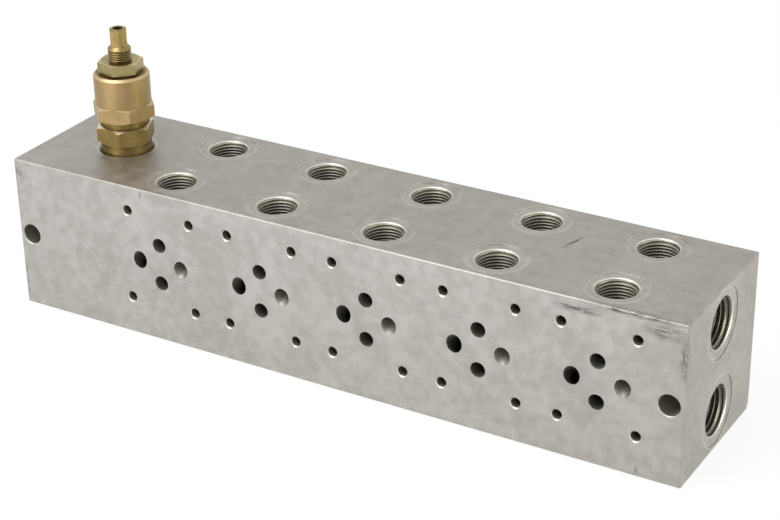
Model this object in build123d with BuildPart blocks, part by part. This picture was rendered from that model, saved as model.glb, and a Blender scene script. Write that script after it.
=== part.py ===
from build123d import *

import math
import os

# A five-station hydraulic manifold bar with a screw-in pressure relief valve, in millimetres.
# The origin is the centre of the block's underside: +X runs along the bar towards the end ports,
# -Y faces out of the valve stations, and +Z is up, out of the service ports.

# --- block ---
block_length = 310.0
block_depth = 68.0
block_height = 69.0
edge_break = 0.4
back_foot_round = 3.0
front_foot_round = 1.2
drill_point_angle = 118.0
overcut = 1.0

# --- valve stations on the front face, one standard four-port size 03 pattern each ---
station_count = 5
station_pitch = 50.0
last_station_inset = 35.0
pattern_level = 36.4
supply_mouth_offset = 10.4
a_mouth_rise = 8.8
b_mouth_drop = 8.7
work_drill = 6.5
supply_drill = 6.8
upper_screw_offset = 15.5
upper_screw_rise = 21.5
lower_screw_offset = 16.25
lower_screw_drop = 19.0
screw_drill = 4.2
screw_countersink = 5.3
screw_drill_depth = 13.0

# --- galleries along the bar, open at the right end ---
gallery_drill = 13.0
pressure_gallery_level = 16.4
tank_gallery_drop = 14.8
pressure_gallery_overrun = 8.0

# --- service ports on top, G3/8, in two rows ---
service_row_offset = 19.0
service_thread = 16.66
service_mouth = 17.4
service_floor_web = 6.55
service_spotface = 24.6
service_spotface_depth = 0.3
feed_drill = 7.5

# --- end ports, G1/2 ---
end_thread = 20.955
end_mouth = 21.9
end_thread_depth = 16.0
end_spotface = 29.4
end_spotface_depth = 0.4

# --- mounting holes through the depth of the bar ---
mounting_hole = 9.0
mounting_hole_inset = 6.0
mounting_hole_level = 34.5
mounting_hole_break = 0.3

# --- relief valve cavity, sunk into the top near the left end ---
valve_inset = 35.0
cavity_mouth = 24.7
cavity_counterbore = 22.2
cavity_counterbore_depth = 5.0
cavity_thread = 20.0
cavity_thread_depth = 16.0
cavity_gallery_bore = 18.5
cavity_gallery_depth = 27.0
cavity_nose_bore = 15.0
cavity_nose_depth = 40.0
cavity_supply_drill = 9.0

# --- valve body: hexagon, collar, thread and nose ---
fit_gap = 0.05
guide_gap = 0.1
loose_gap = 0.2
collar_height = 3.7
collar_entry = 2.4
collar_groove_depth = 0.35
collar_groove_width = 0.7
body_flats = 22.0
body_hex_height = 8.0
body_hex_turn = 54.0
body_thread_relief = 0.6
shank_diameter = 16.8
neck_thread = 20.0
neck_length = 11.6
nose_lead = 0.6
nose_end_gap = 1.2
spring_bore = 12.6
poppet_bore = 9.0
poppet_bore_length = 10.0
relief_hole = 4.6
relief_hole_count = 4
relief_hole_drop = 6.0
hex_bevel_angle = 30.0
hex_bevel_inset = 0.4

# --- rubber rings: section and the squeeze that a groove puts on it ---
ring_sides = 8
ring_squeeze = 0.1
nose_ring_section = 1.5
backup_ring_width = 1.2
nose_groove_lift = 3.0
mouth_ring_section = 2.2
housing_ring_section = 1.5
housing_groove_lift = 5.0
piston_ring_section = 1.4

# --- seat and poppet ---
seat_orifice = 5.4
seat_length = 7.0
poppet_cone_angle = 60.0
poppet_tip_radius = 1.3
poppet_shoulder_rise = 5.0
poppet_spigot = 4.6
poppet_spigot_length = 2.6
seat_gap = 0.1
guide_flange_height = 2.4
guide_boss_length = 3.0
guide_flat_inset = 0.9
guide_flat_count = 3

# --- spring and the plate above it ---
wire_diameter = 2.2
wire_sides = 6
spring_gap = 0.35
spring_turns = 6.5
piston_height = 5.0
piston_boss_length = 3.5
bearing_gap = 0.1

# --- spring housing: hexagon and sleeve from one hexagon bar ---
housing_flats = 24.0
housing_neck_gap = 2.8
housing_hex_height = 7.0
housing_hex_turn = 16.8
housing_height = 20.3
housing_top_bevel = 1.0
housing_roof = 6.0

# --- adjusting screw, lock nut and their rings ---
screw_thread = 10.0
screw_top_level = 54.0
screw_flats = 7.0
screw_tip_length = 7.5
screw_tip_turn = 9.4
screw_bevel = 0.7
screw_shoulder_bevel = 1.2
socket_flats = 4.0
socket_depth = 4.5
stop_ring_section = 1.2
stop_ring_drop = 2.1
screw_end_length = 3.0
nut_flats = 17.0
nut_height = 5.0
nut_bevel_angle = 15.0
nut_turn = 46.0
nut_lift_off = 0.3
nut_recess = 14.0
nut_recess_depth = 1.1
nut_ring_width = 1.6

# Places worked out from the sizes above.
half_length = block_length / 2
half_depth = block_depth / 2
station_places = [
    half_length - last_station_inset - station_pitch * place
    for place in reversed(range(station_count))
]
valve_place = valve_inset - half_length
axis_point = (valve_place, 0, 0)
valve_axis = Axis(axis_point, (0, 0, 1))
valve_section = Plane(origin=axis_point, x_dir=(1, 0, 0), z_dir=(0, -1, 0))
tank_gallery_level = block_height - tank_gallery_drop
a_level = pattern_level + a_mouth_rise
b_level = pattern_level - b_mouth_drop
service_thread_depth = block_height - a_level - work_drill / 2 - service_floor_web
point_slope = math.tan(math.radians(drill_point_angle / 2))

# Levels up the valve's axis, from the cavity's floor to the end of the adjusting screw.
cavity_floor = block_height - cavity_nose_depth
shoulder_level = block_height - cavity_gallery_depth
body_hex_base = block_height + collar_height
body_hex_top = body_hex_base + body_hex_height
collar_base = block_height - collar_entry
neck_top = body_hex_top + neck_length
nose_base = cavity_floor + nose_end_gap
seat_top = nose_base + seat_length
chamber_floor = nose_base + poppet_bore_length
housing_base = body_hex_top + housing_neck_gap
housing_top = housing_base + housing_height
housing_ceiling = housing_top - housing_roof
screw_top = block_height + screw_top_level
screw_tip_base = screw_top - screw_tip_length

# Radii that several pieces share.
nose_radius = cavity_nose_bore / 2 - fit_gap
collar_radius = cavity_counterbore / 2 - loose_gap
body_thread_radius = cavity_thread / 2 - fit_gap
neck_radius = neck_thread / 2 - fit_gap
chamber_radius = spring_bore / 2
screw_radius = screw_thread / 2 - fit_gap


def level_plane(level):
    """Horizontal sketch plane on the valve's axis at a level."""
    return Plane(origin=(valve_place, 0, level))


def hex_bevel(flats, bevel_angle):
    """Radius of a hexagon's bevelled end, and how far its bevel runs down at the corners."""
    end_radius = flats / 2 - hex_bevel_inset
    corner_radius = flats / 2 / math.cos(math.pi / 6)
    fall = (corner_radius - end_radius) * math.tan(math.radians(bevel_angle))
    return end_radius, corner_radius, fall


def turned_hexagon(flats, base, top, turn, bevel_angle=hex_bevel_angle, bevel_base=True):
    """Hexagon bar between two levels, its ends bevelled by turning, for use inside a part block."""
    end_radius, corner_radius, fall = hex_bevel(flats, bevel_angle)
    with BuildSketch(level_plane(base)) as bar_section:
        RegularPolygon(flats / 2, 6, major_radius=False, rotation=turn)
    extrude(bar_section.sketch, amount=top - base)
    corners = [(0, base), (corner_radius, base)]
    if bevel_base:
        corners = [(0, base), (end_radius, base), (corner_radius, base + fall)]
    corners += [(corner_radius, top - fall), (end_radius, top), (0, top)]
    with BuildSketch(valve_section) as envelope:
        with BuildLine():
            Polyline(*corners, close=True)
        make_face()
    revolve(envelope.sketch, axis=valve_axis, mode=Mode.INTERSECT)


def turned(points, mode=Mode.ADD):
    """Body of revolution about the valve's axis from (radius, level) corners."""
    with BuildSketch(valve_section) as half_section:
        with BuildLine():
            Polyline(*points, close=True)
        make_face()
    revolve(half_section.sketch, axis=valve_axis, mode=mode)


def rubber_ring(inner_radius, section, level):
    """Ring about the valve's axis, its middle at a level, pressed against its seats into flats."""
    with BuildSketch(valve_section) as half_section:
        with Locations((inner_radius + section / 2, level)):
            RegularPolygon(section / 2, ring_sides, major_radius=False, rotation=180 / ring_sides)
    revolve(half_section.sketch, axis=valve_axis)


def bored(mouth, outward, across, points):
    """Cut a stepped bore whose (radius, depth) corners run from its mouth down to its axis."""
    section = Plane(origin=mouth, x_dir=across, z_dir=Vector(*across).cross(Vector(*outward)))
    corners = [(0, overcut), (points[0][0], overcut)]
    corners += [(radius, -depth) for radius, depth in points]
    with BuildSketch(section) as half_section:
        with BuildLine():
            Polyline(*corners, close=True)
        make_face()
    revolve(half_section.sketch, axis=Axis(mouth, outward), mode=Mode.SUBTRACT)


def drilled(mouth, direction, diameter, length):
    """Cut a straight drilling from its mouth, started a diameter outside the face."""
    start = Vector(*mouth) - Vector(*direction) * diameter
    with BuildSketch(Plane(origin=start, z_dir=direction)) as drill_section:
        Circle(diameter / 2)
    extrude(drill_section.sketch, amount=length + diameter, mode=Mode.SUBTRACT)


def threaded_port(spotface, spot_depth, mouth, thread, thread_depth, feed, end):
    """Corners of a spot-faced, flat-floored port at its thread's outer size, and of its feed."""
    return [
        (spotface / 2, spot_depth),
        (mouth / 2, spot_depth),
        (thread / 2, spot_depth + (mouth - thread) / 2),
        (thread / 2, thread_depth),
        (feed / 2, thread_depth),
        (feed / 2, end),
        (0, end),
    ]


# Machined aluminium bar. Each station has an A mouth above and a B mouth below its centre, fed from
# the near and the far service port, and slanting P and T drillings that reach the two galleries.
with BuildPart() as manifold_block:
    with BuildSketch(Plane.YZ.offset(-half_length)):
        with Locations((0, block_height / 2)):
            Rectangle(block_depth, block_height)
    extrude(amount=block_length)
    foot_edges = manifold_block.edges().filter_by(Axis.X).group_by(Axis.Z)[0].sort_by(Axis.Y)
    fillet(foot_edges[-1], radius=back_foot_round)
    foot_edges = manifold_block.edges().filter_by(Axis.X).group_by(Axis.Z)[0].sort_by(Axis.Y)
    fillet(foot_edges[0], radius=front_foot_round)
    top_edges = manifold_block.faces().sort_by(Axis.Z)[-1].edges()
    chamfer(top_edges, length=edge_break)
    upright_edges = manifold_block.edges().filter_by(Axis.Z)
    chamfer(upright_edges, length=edge_break)

    # Galleries and end ports.
    gallery_ends = [
        (pressure_gallery_level, valve_place - pressure_gallery_overrun),
        (tank_gallery_level, valve_place),
    ]
    for gallery_level, gallery_end in gallery_ends:
        end_port = threaded_port(
            end_spotface,
            end_spotface_depth,
            end_mouth,
            end_thread,
            end_thread_depth,
            gallery_drill,
            half_length - gallery_end,
        )
        bored((half_length, 0, gallery_level), (1, 0, 0), (0, 1, 0), end_port)

    # Service ports: the near row feeds the A mouths, the far row the B mouths.
    for station in station_places:
        for row, mouth_level in ((-service_row_offset, a_level), (service_row_offset, b_level)):
            service_port = threaded_port(
                service_spotface,
                service_spotface_depth,
                service_mouth,
                service_thread,
                service_thread_depth,
                feed_drill,
                block_height - mouth_level + work_drill / 2,
            )
            bored((station, row, block_height), (0, 0, 1), (1, 0, 0), service_port)
            mouth = (station, -half_depth, mouth_level)
            drilled(mouth, (0, 1, 0), work_drill, half_depth + row)

        # P slants down to the pressure gallery on the left, T up to the tank gallery on the right.
        for side, gallery_level in ((-1, pressure_gallery_level), (1, tank_gallery_level)):
            mouth = (station + side * supply_mouth_offset, -half_depth, pattern_level)
            run = Vector(0, half_depth, gallery_level - pattern_level)
            drilled(mouth, tuple(run.normalized()), supply_drill, run.length)

    # Tapped holes for the valve screws, countersunk and drilled to a point.
    for station in station_places:
        for side in (-1, 1):
            screw_places = [
                (station + side * upper_screw_offset, pattern_level + upper_screw_rise),
                (station + side * lower_screw_offset, pattern_level - lower_screw_drop),
            ]
            for along, level in screw_places:
                screw_hole = [
                    (screw_countersink / 2, 0),
                    (screw_drill / 2, (screw_countersink - screw_drill) / 2),
                    (screw_drill / 2, screw_drill_depth),
                    (0, screw_drill_depth + screw_drill / 2 / point_slope),
                ]
                bored((along, -half_depth, level), (0, -1, 0), (1, 0, 0), screw_hole)

    # Mounting holes, right through from front to back.
    for along in (mounting_hole_inset - half_length, half_length - mounting_hole_inset):
        for side in (-1, 1):
            mounting_mouth = [
                (mounting_hole / 2 + mounting_hole_break, 0),
                (mounting_hole / 2, mounting_hole_break),
                (mounting_hole / 2, half_depth + overcut),
                (0, half_depth + overcut),
            ]
            mouth = (along, side * half_depth, mounting_hole_level)
            bored(mouth, (0, side, 0), (1, 0, 0), mounting_mouth)

    # Relief valve cavity: counterbore, thread, tank annulus, nose bore and pressure drilling.
    cavity = [
        (cavity_mouth / 2, 0),
        (cavity_counterbore / 2, (cavity_mouth - cavity_counterbore) / 2),
        (cavity_counterbore / 2, cavity_counterbore_depth),
        (cavity_thread / 2, cavity_counterbore_depth),
        (cavity_thread / 2, cavity_thread_depth),
        (cavity_gallery_bore / 2, cavity_thread_depth),
        (cavity_gallery_bore / 2, cavity_gallery_depth),
        (cavity_nose_bore / 2, cavity_gallery_depth),
        (cavity_nose_bore / 2, cavity_nose_depth),
        (cavity_supply_drill / 2, cavity_nose_depth),
        (cavity_supply_drill / 2, block_height - pressure_gallery_level),
        (0, block_height - pressure_gallery_level),
    ]
    bored((valve_place, 0, block_height), (0, 0, 1), (1, 0, 0), cavity)

# Steel cartridge body, turned from hexagon bar and zinc plated.
with BuildPart() as valve_body:
    turned_hexagon(body_flats, body_hex_base, body_hex_top, body_hex_turn)
    thread_top = block_height - cavity_counterbore_depth - body_thread_relief
    thread_base = block_height - cavity_thread_depth + body_thread_relief
    mouth_groove_radius = cavity_counterbore / 2 - mouth_ring_section + ring_squeeze
    nose_groove_radius = nose_radius - nose_ring_section + ring_squeeze
    nose_groove_base = nose_base + nose_groove_lift
    nose_groove_width = nose_ring_section + 2 * backup_ring_width + 2 * ring_squeeze
    turned(
        [
            (0, nose_base),
            (nose_radius - nose_lead, nose_base),
            (nose_radius, nose_base + nose_lead),
            (nose_radius, nose_groove_base),
            (nose_groove_radius, nose_groove_base),
            (nose_groove_radius, nose_groove_base + nose_groove_width),
            (nose_radius, nose_groove_base + nose_groove_width),
            (nose_radius, shoulder_level),
            (shank_diameter / 2, shoulder_level + nose_lead),
            (shank_diameter / 2, thread_base),
            (body_thread_radius, thread_base + nose_lead),
            (body_thread_radius, thread_top),
            (mouth_groove_radius, thread_top),
            (mouth_groove_radius, collar_base),
            (collar_radius, collar_base),
            (collar_radius, body_hex_base - collar_groove_width),
            (collar_radius - collar_groove_depth, body_hex_base - collar_groove_width),
            (collar_radius - collar_groove_depth, body_hex_base),
            (0, body_hex_base),
        ]
    )
    housing_groove_base = body_hex_top + housing_groove_lift
    housing_groove_radius = neck_thread / 2 - housing_ring_section + ring_squeeze
    housing_groove_top = housing_groove_base + housing_ring_section + 2 * ring_squeeze
    turned(
        [
            (0, body_hex_top),
            (neck_radius, body_hex_top),
            (neck_radius, housing_groove_base),
            (housing_groove_radius, housing_groove_base),
            (housing_groove_radius, housing_groove_top),
            (neck_radius, housing_groove_top),
            (neck_radius, neck_top - nose_lead),
            (neck_radius - nose_lead, neck_top),
            (0, neck_top),
        ]
    )
    turned(
        [
            (0, nose_base - overcut),
            (poppet_bore / 2, nose_base - overcut),
            (poppet_bore / 2, chamber_floor),
            (chamber_radius, chamber_floor),
            (chamber_radius, neck_top + overcut),
            (0, neck_top + overcut),
        ],
        mode=Mode.SUBTRACT,
    )
    for hole in range(relief_hole_count):
        heading = 2 * math.pi * hole / relief_hole_count
        direction = (math.cos(heading), math.sin(heading), 0)
        drilled((valve_place, 0, thread_base - relief_hole_drop), direction, relief_hole, chamber_radius * 2)

# Hardened seat, pushed into the nose.
with BuildPart() as valve_seat:
    turned(
        [
            (seat_orifice / 2, nose_base),
            (poppet_bore / 2 - fit_gap / 2, nose_base),
            (poppet_bore / 2 - fit_gap / 2, seat_top),
            (seat_orifice / 2, seat_top),
        ]
    )

# Poppet: its cone closes the seat's upper edge.
cone_slope = math.tan(math.radians(poppet_cone_angle / 2))
cone_contact = seat_top + seat_gap
poppet_radius = poppet_bore / 2 - loose_gap
poppet_tip = cone_contact - (seat_orifice / 2 - poppet_tip_radius) / cone_slope
cone_top = cone_contact + (poppet_radius - seat_orifice / 2) / cone_slope
guide_base = cone_contact + poppet_shoulder_rise
with BuildPart() as poppet:
    turned(
        [
            (0, poppet_tip),
            (poppet_tip_radius, poppet_tip),
            (poppet_radius, cone_top),
            (poppet_radius, guide_base),
            (poppet_spigot / 2, guide_base),
            (poppet_spigot / 2, guide_base + poppet_spigot_length),
            (0, guide_base + poppet_spigot_length),
        ]
    )

# Spring guide on the poppet's spigot, with three flats that let the oil past.
guide_radius = chamber_radius - guide_gap
spring_outer_radius = chamber_radius - spring_gap
spring_mean_radius = spring_outer_radius - wire_diameter / 2
spring_inner_radius = spring_outer_radius - wire_diameter
guide_boss_radius = spring_inner_radius - spring_gap
spring_base = guide_base + guide_flange_height
with BuildPart() as spring_guide:
    turned(
        [
            (poppet_spigot / 2 + fit_gap, guide_base),
            (guide_radius, guide_base),
            (guide_radius, spring_base),
            (guide_boss_radius, spring_base),
            (guide_boss_radius, spring_base + guide_boss_length),
            (poppet_spigot / 2 + fit_gap, spring_base + guide_boss_length),
        ]
    )
    for flat in range(guide_flat_count):
        heading = 360.0 * flat / guide_flat_count
        flat_side = level_plane(guide_base).rotated((0, 0, heading))
        with BuildSketch(flat_side):
            with Locations((guide_radius, 0)):
                Rectangle(2 * guide_flat_inset, 2 * guide_radius)
        extrude(amount=guide_flange_height, mode=Mode.SUBTRACT)

# Upper spring plate: a piston in the spring bore, sealed by a ring and pushed by the screw.
stop_ring_level = housing_ceiling - stop_ring_drop - stop_ring_section / 2
screw_base = stop_ring_level - screw_end_length
plate_top = screw_base - bearing_gap
plate_base = plate_top - piston_height
piston_radius = chamber_radius - fit_gap
piston_groove_radius = chamber_radius - piston_ring_section + ring_squeeze
piston_groove_width = piston_ring_section + 2 * ring_squeeze
piston_groove_base = plate_base + (piston_height - piston_groove_width) / 2
with BuildPart() as upper_spring_plate:
    turned(
        [
            (0, plate_base - piston_boss_length),
            (guide_boss_radius, plate_base - piston_boss_length),
            (guide_boss_radius, plate_base),
            (piston_radius, plate_base),
            (piston_radius, piston_groove_base),
            (piston_groove_radius, piston_groove_base),
            (piston_groove_radius, piston_groove_base + piston_groove_width),
            (piston_radius, piston_groove_base + piston_groove_width),
            (piston_radius, plate_top),
            (0, plate_top),
        ]
    )

# Compression spring between guide and plate, its ends ground flat.
spring_length = plate_base - spring_base
spring_pitch = spring_length / spring_turns
with BuildPart() as pressure_spring:
    with BuildLine(level_plane(spring_base)):
        coil = Helix(pitch=spring_pitch, height=spring_length, radius=spring_mean_radius)
    with BuildSketch(Plane(origin=coil @ 0, z_dir=coil % 0)):
        RegularPolygon(wire_diameter / 2, wire_sides, major_radius=False)
    sweep(path=coil, is_frenet=True)
    turned(
        [
            (0, spring_base),
            (chamber_radius, spring_base),
            (chamber_radius, plate_base),
            (0, plate_base),
        ],
        mode=Mode.INTERSECT,
    )

# Spring housing: the lower part keeps its hexagon, the upper part is turned round to the flats.
with BuildPart() as spring_housing:
    housing_hex_top = housing_base + housing_hex_height
    turned_hexagon(housing_flats, housing_base, housing_hex_top, housing_hex_turn)
    sleeve_radius = housing_flats / 2
    turned(
        [
            (0, housing_base + housing_hex_height / 2),
            (sleeve_radius - hex_bevel_inset, housing_base + housing_hex_height / 2),
            (sleeve_radius, housing_hex_top),
            (sleeve_radius, housing_top - housing_top_bevel),
            (sleeve_radius - housing_top_bevel, housing_top),
            (0, housing_top),
        ]
    )
    turned(
        [
            (0, housing_base - overcut),
            (neck_thread / 2, housing_base - overcut),
            (neck_thread / 2, housing_ceiling),
            (screw_thread / 2, housing_ceiling),
            (screw_thread / 2, housing_top + overcut),
            (0, housing_top + overcut),
        ],
        mode=Mode.SUBTRACT,
    )

# Adjusting screw: fine thread, hexagon end for a spanner and socket for a key.
stop_ring_inner = screw_radius - stop_ring_section / 2
with BuildPart() as adjusting_screw:
    turned_hexagon(screw_flats, screw_tip_base, screw_top, screw_tip_turn, bevel_base=False)
    turned(
        [
            (0, screw_base),
            (screw_radius - screw_bevel, screw_base),
            (screw_radius, screw_base + screw_bevel),
            (screw_radius, stop_ring_level - stop_ring_section / 2),
            (stop_ring_inner, stop_ring_level - stop_ring_section / 2),
            (stop_ring_inner, stop_ring_level + stop_ring_section / 2),
            (screw_radius, stop_ring_level + stop_ring_section / 2),
            (screw_radius, screw_tip_base - screw_shoulder_bevel),
            (screw_radius - screw_shoulder_bevel, screw_tip_base),
            (0, screw_tip_base),
        ]
    )
    with BuildSketch(level_plane(screw_top - socket_depth)):
        RegularPolygon(socket_flats / 2, 6, major_radius=False, rotation=screw_tip_turn)
    extrude(amount=socket_depth + overcut, mode=Mode.SUBTRACT)

# Snap ring in the screw's groove: it meets the housing's roof before the screw can leave.
with BuildPart() as screw_stop_ring:
    rubber_ring(stop_ring_inner + fit_gap, stop_ring_section - 2 * fit_gap, stop_ring_level)

# Lock nut, recessed underneath for its seal.
nut_base = housing_top + nut_lift_off
with BuildPart() as lock_nut:
    turned_hexagon(nut_flats, nut_base, nut_base + nut_height, nut_turn, nut_bevel_angle)
    turned(
        [
            (0, nut_base - overcut),
            (nut_recess / 2, nut_base - overcut),
            (nut_recess / 2, nut_base + nut_recess_depth),
            (screw_thread / 2, nut_base + nut_recess_depth),
            (screw_thread / 2, nut_base + nut_height + overcut),
            (0, nut_base + nut_height + overcut),
        ],
        mode=Mode.SUBTRACT,
    )

# Rubber ring in the nut's recess, which closes the screw's thread on top of the housing.
with BuildPart() as lock_nut_seal:
    seal_inner = screw_thread / 2 + fit_gap
    turned(
        [
            (seal_inner, housing_top + fit_gap),
            (seal_inner + nut_ring_width, housing_top + fit_gap),
            (seal_inner + nut_ring_width, nut_base + nut_recess_depth - fit_gap),
            (seal_inner, nut_base + nut_recess_depth - fit_gap),
        ]
    )

# Rubber rings of the body, each resting on its groove's floor.
with BuildPart() as housing_seal:
    housing_ring_level = (housing_groove_base + housing_groove_top) / 2
    rubber_ring(housing_groove_radius, housing_ring_section - ring_squeeze, housing_ring_level)

with BuildPart() as mouth_seal:
    mouth_ring_level = collar_base - mouth_ring_section / 2
    rubber_ring(mouth_groove_radius, mouth_ring_section - ring_squeeze, mouth_ring_level)

with BuildPart() as nose_seal:
    nose_ring_level = nose_groove_base + nose_groove_width / 2
    rubber_ring(nose_groove_radius, nose_ring_section - ring_squeeze, nose_ring_level)

with BuildPart() as nose_backup_rings:
    for ring_base in (nose_groove_base, nose_groove_base + nose_groove_width - backup_ring_width):
        turned(
            [
                (nose_groove_radius + fit_gap, ring_base),
                (nose_radius, ring_base),
                (nose_radius, ring_base + backup_ring_width),
                (nose_groove_radius + fit_gap, ring_base + backup_ring_width),
            ]
        )

with BuildPart() as piston_seal:
    piston_ring_level = piston_groove_base + piston_groove_width / 2
    piston_ring = piston_ring_section - ring_squeeze - fit_gap
    rubber_ring(piston_groove_radius, piston_ring, piston_ring_level)

pieces = {
    "manifold_block": manifold_block,
    "valve_body": valve_body,
    "valve_seat": valve_seat,
    "poppet": poppet,
    "spring_guide": spring_guide,
    "upper_spring_plate": upper_spring_plate,
    "pressure_spring": pressure_spring,
    "spring_housing": spring_housing,
    "adjusting_screw": adjusting_screw,
    "screw_stop_ring": screw_stop_ring,
    "lock_nut": lock_nut,
    "lock_nut_seal": lock_nut_seal,
    "housing_seal": housing_seal,
    "mouth_seal": mouth_seal,
    "nose_seal": nose_seal,
    "nose_backup_rings": nose_backup_rings,
    "piston_seal": piston_seal,
}

os.makedirs("parts", exist_ok=True)
for name, piece in pieces.items():
    piece.part.label = name
    export_step(piece.part, f"parts/{name}.step")
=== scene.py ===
import bmesh
import bpy
import numpy as np
from mathutils import Matrix, Vector


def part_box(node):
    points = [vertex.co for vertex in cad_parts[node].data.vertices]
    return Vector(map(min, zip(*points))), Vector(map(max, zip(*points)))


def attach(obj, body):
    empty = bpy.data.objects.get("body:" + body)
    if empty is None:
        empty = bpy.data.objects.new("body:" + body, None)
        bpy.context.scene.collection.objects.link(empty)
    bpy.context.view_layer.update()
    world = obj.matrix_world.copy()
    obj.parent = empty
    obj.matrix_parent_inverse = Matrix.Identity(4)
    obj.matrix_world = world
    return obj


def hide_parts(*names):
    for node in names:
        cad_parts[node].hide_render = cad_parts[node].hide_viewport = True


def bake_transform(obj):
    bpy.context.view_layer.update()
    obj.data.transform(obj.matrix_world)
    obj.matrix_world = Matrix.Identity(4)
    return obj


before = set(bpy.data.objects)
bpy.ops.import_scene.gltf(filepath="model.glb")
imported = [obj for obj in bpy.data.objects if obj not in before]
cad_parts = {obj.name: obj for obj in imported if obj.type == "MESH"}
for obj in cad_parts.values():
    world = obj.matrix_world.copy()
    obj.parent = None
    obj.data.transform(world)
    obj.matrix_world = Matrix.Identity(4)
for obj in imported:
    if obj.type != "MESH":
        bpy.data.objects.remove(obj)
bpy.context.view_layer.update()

# ---------------------------------------------------------------------------------------------
# The studio: a standing camera with a long lens, looking down on the bar from its valve side,
# so that the front face, the top and the right end all show.
# ---------------------------------------------------------------------------------------------
camera_place = Vector((0.38662, -0.62759, 0.41416))
camera_azimuth, camera_elevation, camera_roll = np.radians((31.645, 26.962, -1.343))
camera_lens, camera_sensor = 92.92, 36.0
camera_shift, camera_clips = (0.0304, 0.0105), (0.05, 20.0)


def look(azimuth, elevation, roll):
    """Turn of a camera that stands at an azimuth from -Y and an elevation and looks back, rolled
    about its own line of sight: columns are its right, its up and the way back to it."""
    flat = np.cos(elevation)
    back = np.array((np.sin(azimuth) * flat, -np.cos(azimuth) * flat, np.sin(elevation)))
    level = np.cross((0.0, 0.0, 1.0), back)
    level /= np.linalg.norm(level)
    upright = np.cross(back, level)
    right = np.cos(roll) * level + np.sin(roll) * upright
    up = -np.sin(roll) * level + np.cos(roll) * upright
    return Matrix(np.column_stack((right, up, back)).tolist())


camera_data = bpy.data.cameras.new("studio_camera")
camera_data.lens = camera_lens
camera_data.sensor_width = camera_sensor
camera_data.shift_x, camera_data.shift_y = camera_shift
camera_data.clip_start, camera_data.clip_end = camera_clips
camera = bpy.data.objects.new("studio_camera", camera_data)
camera_turn = look(camera_azimuth, camera_elevation, camera_roll)
camera.matrix_world = Matrix.Translation(camera_place) @ camera_turn.to_4x4()
bpy.context.scene.collection.objects.link(camera)
bpy.context.scene.camera = camera
bpy.context.scene.view_settings.view_transform = "Standard"


def linear(colour):
    """Linear red, green and blue, with an alpha of one, of an sRGB hex colour."""
    srgb = np.array([int(colour[place : place + 2], 16) for place in (1, 3, 5)]) / 255
    low, high = srgb / 12.92, ((srgb + 0.055) / 1.055) ** 2.4
    return (*np.where(srgb <= 0.04045, low, high).tolist(), 1.0)


def node(tree, kind, inputs=None, out=0, **settings):
    """Add a shader node and return one of its outputs. inputs maps each input's name or number to
    a value or to the output that feeds it, and settings are the node's own properties."""
    added = tree.nodes.new("ShaderNode" + kind)
    for key, value in settings.items():
        setattr(added, key, value)
    for key, value in (inputs or {}).items():
        if isinstance(value, bpy.types.NodeSocket):
            tree.links.new(value, added.inputs[key])
        else:
            added.inputs[key].default_value = value
    return added.outputs[out] if len(added.outputs) else None


# White paper that the bar stands on. What is seen of it, directly or in the metal, is white, and
# its matt share keeps the bar's soft shadow. It lies a hair under the bar's foot.
floor_reach, floor_drop = 3.0, 0.0001
white_share, paper_grey, plain_white = 0.86, "#E6E6E4", (1, 1, 1, 1)
floor_mesh = bpy.data.meshes.new("paper_floor")
floor_corners = np.array([(-1, -1, 0), (1, -1, 0), (1, 1, 0), (-1, 1, 0)]) * floor_reach
floor_mesh.from_pydata((floor_corners - (0, 0, floor_drop)).tolist(), [], [(0, 1, 2, 3)])
floor = bpy.data.objects.new("paper_floor", floor_mesh)
bpy.context.scene.collection.objects.link(floor)
paper = bpy.data.materials.new("white_paper")
paper.use_nodes = True
tree = paper.node_tree
tree.nodes.clear()
camera_ray = node(tree, "LightPath", out="Is Camera Ray")
glossy_ray = node(tree, "LightPath", out="Is Glossy Ray")
through_ray = node(tree, "LightPath", out="Is Transmission Ray")
seen = node(tree, "Math", {0: camera_ray, 1: glossy_ray}, operation="MAXIMUM")
seen = node(tree, "Math", {0: seen, 1: through_ray}, operation="MAXIMUM")
share = node(tree, "Math", {0: seen, 1: white_share}, operation="MULTIPLY")
matt = node(tree, "BsdfDiffuse", {"Color": linear(paper_grey)})
white = node(tree, "Emission", {"Color": plain_white, "Strength": 1.0})
paper_surface = node(tree, "MixShader", {0: share, 1: matt, 2: white})
node(tree, "OutputMaterial", {"Surface": paper_surface})
floor_mesh.materials.append(paper)

# Light tent: plain white all round, for the eye, for the metal and as the light itself.
tent = bpy.data.worlds.new("light_tent")
bpy.context.scene.world = tent
tent.use_nodes = True
tree = tent.node_tree
tree.nodes.clear()
sky = node(tree, "Background", {"Color": plain_white, "Strength": 1.0})
node(tree, "OutputWorld", {"Surface": sky})

# Soft boxes, each with its place, width and depth, power in watts and tint: one overhead, a low
# one in front on the left and a low one off the right end. All are aimed at the bar's middle.
lit_point = Vector((0, 0, 0.04))
soft_boxes = {
    "overhead_soft_box": ((-0.34, -0.58, 1.10), (0.90, 0.90), 8.4, "#FFFFFF"),
    "front_soft_box": ((-0.42, -1.14, 0.17), (0.90, 0.30), 11.0, "#F1F3FF"),
    "end_soft_box": ((1.20, 0.08, 0.12), (0.70, 0.35), 9.8, "#FFFCF4"),
}
for name, (stand, (width, depth), power, tint) in soft_boxes.items():
    lamp = bpy.data.lights.new(name, "AREA")
    lamp.shape, lamp.size, lamp.size_y, lamp.energy = "RECTANGLE", width, depth, power
    lamp.color = linear(tint)[:3]
    box = bpy.data.objects.new(name, lamp)
    box.location = stand
    aim = lit_point - Vector(stand)
    box.rotation_euler = aim.to_track_quat("-Z", "Y").to_euler()
    bpy.context.scene.collection.objects.link(box)

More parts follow.
